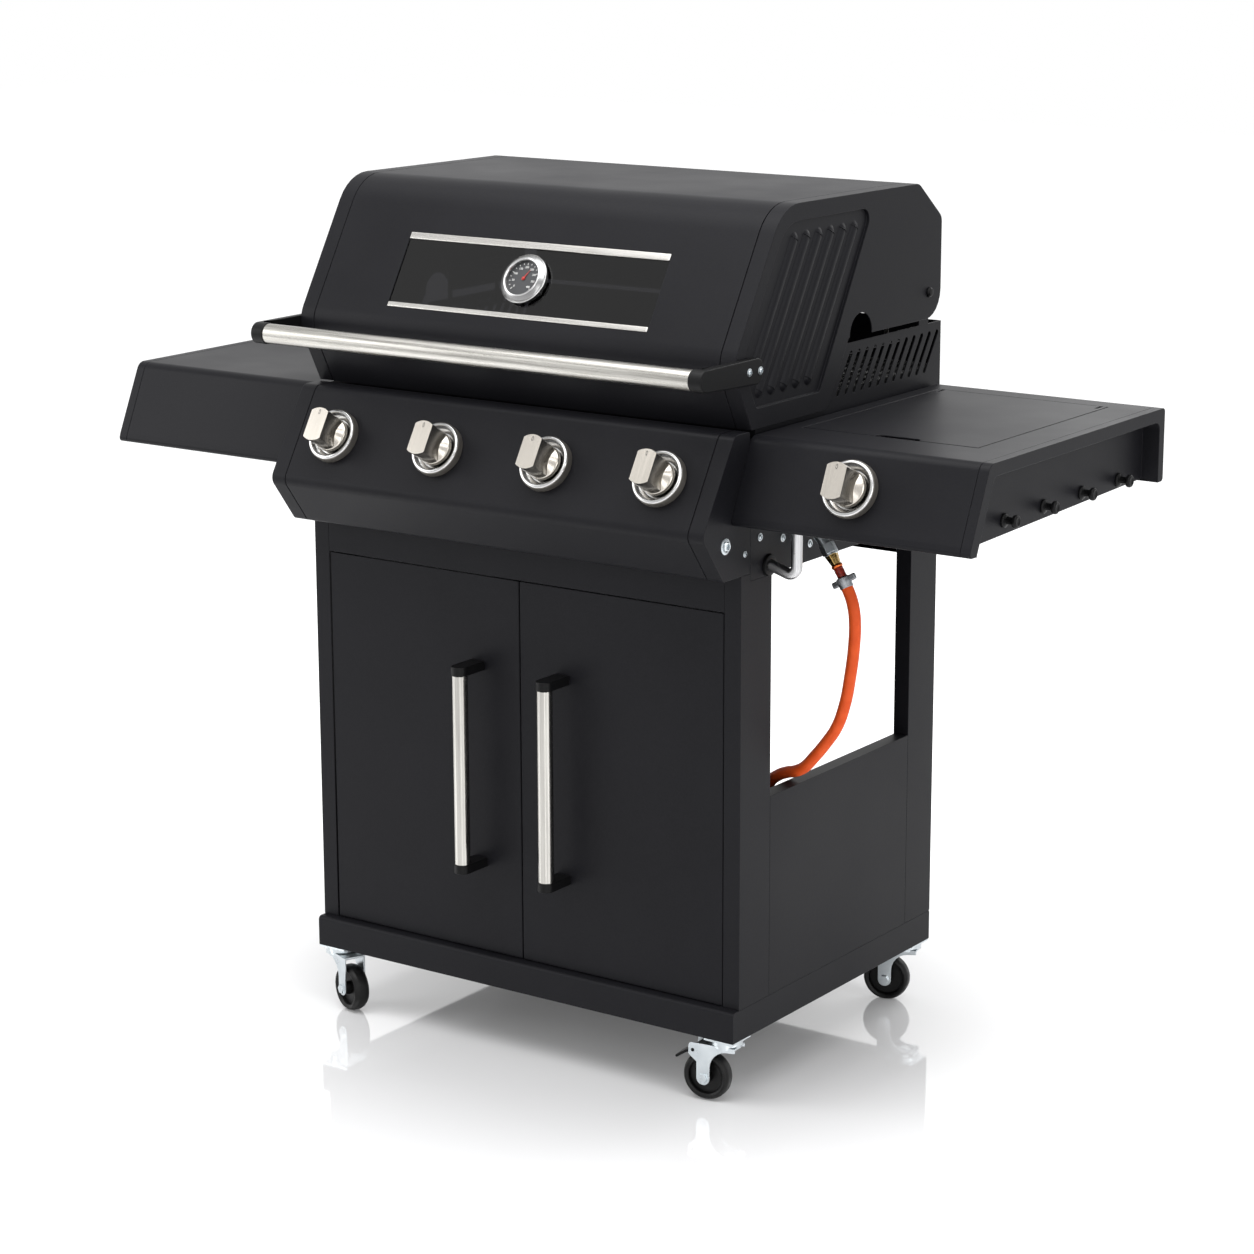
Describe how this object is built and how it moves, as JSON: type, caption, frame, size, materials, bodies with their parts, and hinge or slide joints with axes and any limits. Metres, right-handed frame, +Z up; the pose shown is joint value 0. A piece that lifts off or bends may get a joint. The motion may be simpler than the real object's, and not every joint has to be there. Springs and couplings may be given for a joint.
{
  "type": "gas barbecue grill",
  "caption": "Gas barbecue on a two-door cart with casters, a hinged lid with a window, control knobs, side shelves and a side burner under a flush cover.",
  "frame": {"origin": "on the floor under the middle of the grill: half way across its width and half way from the lid handle's front to the firebox's back", "axes": "+X to the grill's right as its user faces it, +Y from the front to the back, +Z up"},
  "size_m": [1.3, 0.5805, 1.1027],
  "materials": {
    "charcoal_coat": "satin powder coat",
    "black_enamel": "matt enamel",
    "black_plastic": "satin",
    "black_bolt": "gloss",
    "brushed_steel": "brushed",
    "knob_metal": "satin nickel",
    "zinc_plate": "bright zinc",
    "caster_tyre": "satin",
    "brass": "machined",
    "orange_hose": "satin",
    "cast_zinc": "cast",
    "tinted_glass": "tinted"
  },
  "bodies": {
    "cart": {"base_pan": "charcoal_coat", "caster_mounts": "zinc_plate", "front_posts": "charcoal_coat", "rear_posts": "charcoal_coat", "side_panels": "charcoal_coat", "cross_rails": "charcoal_coat", "firebox": "charcoal_coat", "control_panel": "charcoal_coat", "panel_ends": "charcoal_coat", "knob_bezels": "knob_metal", "gas_manifold": "zinc_plate", "burners": "brushed_steel", "flame_tamers": "brushed_steel", "cooking_grates": "black_enamel", "warming_rack": "brushed_steel", "shelf_left": "charcoal_coat", "shelf_right": "charcoal_coat", "shelf_ends": "charcoal_coat", "tool_hooks": "black_plastic", "burner_bowl": "black_enamel", "side_burner": "zinc_plate", "pan_support": "black_enamel", "burner_tube": "brushed_steel", "gas_fitting": "brass", "gas_hose": "orange_hose", "regulator": "cast_zinc", "hinge_bolts": "black_bolt"},
    "lid": {"lid_shell": "charcoal_coat", "lid_ends": "charcoal_coat", "window_glass": "tinted_glass", "window_trims": "brushed_steel", "thermometer": "brushed_steel", "lid_handle": "brushed_steel", "handle_arms": "black_plastic"},
    "left_door": {"door_left": "charcoal_coat", "door_left_handle": "brushed_steel"},
    "right_door": {"door_right": "charcoal_coat", "door_right_handle": "brushed_steel"},
    "burner_cover": {"side_burner_cover": "charcoal_coat"},
    "drip_tray": {"grease_tray": "brushed_steel"},
    "stem_1": {"valve_stem_1": "brushed_steel"},
    "knob_1": {"knob_1": "knob_metal"},
    "stem_2": {"valve_stem_2": "brushed_steel"},
    "knob_2": {"knob_2": "knob_metal"},
    "stem_3": {"valve_stem_3": "brushed_steel"},
    "knob_3": {"knob_3": "knob_metal"},
    "stem_4": {"valve_stem_4": "brushed_steel"},
    "knob_4": {"knob_4": "knob_metal"},
    "stem_5": {"valve_stem_5": "brushed_steel"},
    "knob_5": {"knob_5": "knob_metal"},
    "swivel_1": {"caster_fork_1": "zinc_plate"},
    "wheel_1": {"caster_wheel_1": "caster_tyre"},
    "swivel_2": {"caster_fork_2": "zinc_plate"},
    "wheel_2": {"caster_wheel_2": "caster_tyre"},
    "brake_1": {"brake_lever_1": "black_plastic"},
    "swivel_3": {"caster_fork_3": "zinc_plate"},
    "wheel_3": {"caster_wheel_3": "caster_tyre"},
    "swivel_4": {"caster_fork_4": "zinc_plate"},
    "wheel_4": {"caster_wheel_4": "caster_tyre"},
    "brake_2": {"brake_lever_2": "black_plastic"}
  },
  "joints": [
    {"name": "lid_hinge", "type": "hinge", "parent": "cart", "child": "lid", "pos_m": [0, 0.2433, 0.9598], "axis": [-1, 0, 0], "range_deg": [0, 85]},
    {"name": "left_door_hinge", "type": "hinge", "parent": "cart", "child": "left_door", "pos_m": [-0.296, -0.1855, 0.3745], "axis": [0, 0, -1], "range_deg": [0, 110]},
    {"name": "right_door_hinge", "type": "hinge", "parent": "cart", "child": "right_door", "pos_m": [0.296, -0.1855, 0.3745], "axis": [0, 0, 1], "range_deg": [0, 110]},
    {"name": "cover_hinge", "type": "hinge", "parent": "cart", "child": "burner_cover", "pos_m": [0.4705, 0.229, 0.833], "axis": [-1, 0, 0], "range_deg": [0, 100]},
    {"name": "tray_slide", "type": "slide", "parent": "cart", "child": "drip_tray", "axis": [0, 1, 0], "range_m": [0, 0.28]},
    {"name": "knob_1_push", "type": "slide", "parent": "cart", "child": "stem_1", "axis": [0, 0.8536, -0.521], "range_m": [0, 0.003], "stiffness_N_per_m": 800, "springref_m": -0.003},
    {"name": "knob_1_turn", "type": "hinge", "parent": "stem_1", "child": "knob_1", "pos_m": [-0.249, -0.23939, 0.78667], "axis": [0, -0.8536, 0.521], "range_deg": [0, 180]},
    {"name": "knob_2_push", "type": "slide", "parent": "cart", "child": "stem_2", "axis": [0, 0.8536, -0.521], "range_m": [0, 0.003], "stiffness_N_per_m": 800, "springref_m": -0.003},
    {"name": "knob_2_turn", "type": "hinge", "parent": "stem_2", "child": "knob_2", "pos_m": [-0.083, -0.23939, 0.78667], "axis": [0, -0.8536, 0.521], "range_deg": [0, 180]},
    {"name": "knob_3_push", "type": "slide", "parent": "cart", "child": "stem_3", "axis": [0, 0.8536, -0.521], "range_m": [0, 0.003], "stiffness_N_per_m": 800, "springref_m": -0.003},
    {"name": "knob_3_turn", "type": "hinge", "parent": "stem_3", "child": "knob_3", "pos_m": [0.083, -0.23939, 0.78667], "axis": [0, -0.8536, 0.521], "range_deg": [0, 180]},
    {"name": "knob_4_push", "type": "slide", "parent": "cart", "child": "stem_4", "axis": [0, 0.8536, -0.521], "range_m": [0, 0.003], "stiffness_N_per_m": 800, "springref_m": -0.003},
    {"name": "knob_4_turn", "type": "hinge", "parent": "stem_4", "child": "knob_4", "pos_m": [0.249, -0.23939, 0.78667], "axis": [0, -0.8536, 0.521], "range_deg": [0, 180]},
    {"name": "knob_5_push", "type": "slide", "parent": "cart", "child": "stem_5", "axis": [0, 0.91, -0.4147], "range_m": [0, 0.003], "stiffness_N_per_m": 800, "springref_m": -0.003},
    {"name": "knob_5_turn", "type": "hinge", "parent": "stem_5", "child": "knob_5", "pos_m": [0.481, -0.18973, 0.7925], "axis": [0, -0.91, 0.4147], "range_deg": [0, 180]},
    {"name": "caster_1_swivel", "type": "hinge", "parent": "cart", "child": "swivel_1", "pos_m": [-0.308, -0.182, 0.075], "axis": [0, 0, 1], "continuous": true},
    {"name": "caster_1_roll", "type": "hinge", "parent": "swivel_1", "child": "wheel_1", "pos_m": [-0.28389, -0.19174, 0.031], "axis": [0.3746, 0.9272, 0], "continuous": true},
    {"name": "caster_2_swivel", "type": "hinge", "parent": "cart", "child": "swivel_2", "pos_m": [0.308, -0.182, 0.075], "axis": [0, 0, 1], "continuous": true},
    {"name": "caster_2_roll", "type": "hinge", "parent": "swivel_2", "child": "wheel_2", "pos_m": [0.28225, -0.18562, 0.031], "axis": [0.1392, -0.9903, 0], "continuous": true},
    {"name": "brake_1_press", "type": "hinge", "parent": "swivel_2", "child": "brake_1", "pos_m": [0.26839, -0.18757, 0.066], "axis": [0.1392, -0.9903, 0], "range_deg": [0, 12]},
    {"name": "caster_3_swivel", "type": "hinge", "parent": "cart", "child": "swivel_3", "pos_m": [0.308, 0.256, 0.075], "axis": [0, 0, 1], "continuous": true},
    {"name": "caster_3_roll", "type": "hinge", "parent": "swivel_3", "child": "wheel_3", "pos_m": [0.28314, 0.2484, 0.031], "axis": [0.2924, -0.9563, 0], "continuous": true},
    {"name": "caster_4_swivel", "type": "hinge", "parent": "cart", "child": "swivel_4", "pos_m": [-0.308, 0.256, 0.075], "axis": [0, 0, 1], "continuous": true},
    {"name": "caster_4_roll", "type": "hinge", "parent": "swivel_4", "child": "wheel_4", "pos_m": [-0.33243, 0.24711, 0.031], "axis": [0.342, -0.9397, 0], "continuous": true},
    {"name": "brake_2_press", "type": "hinge", "parent": "swivel_4", "child": "brake_2", "pos_m": [-0.34559, 0.24232, 0.066], "axis": [0.342, -0.9397, 0], "range_deg": [0, 12]}
  ]
}
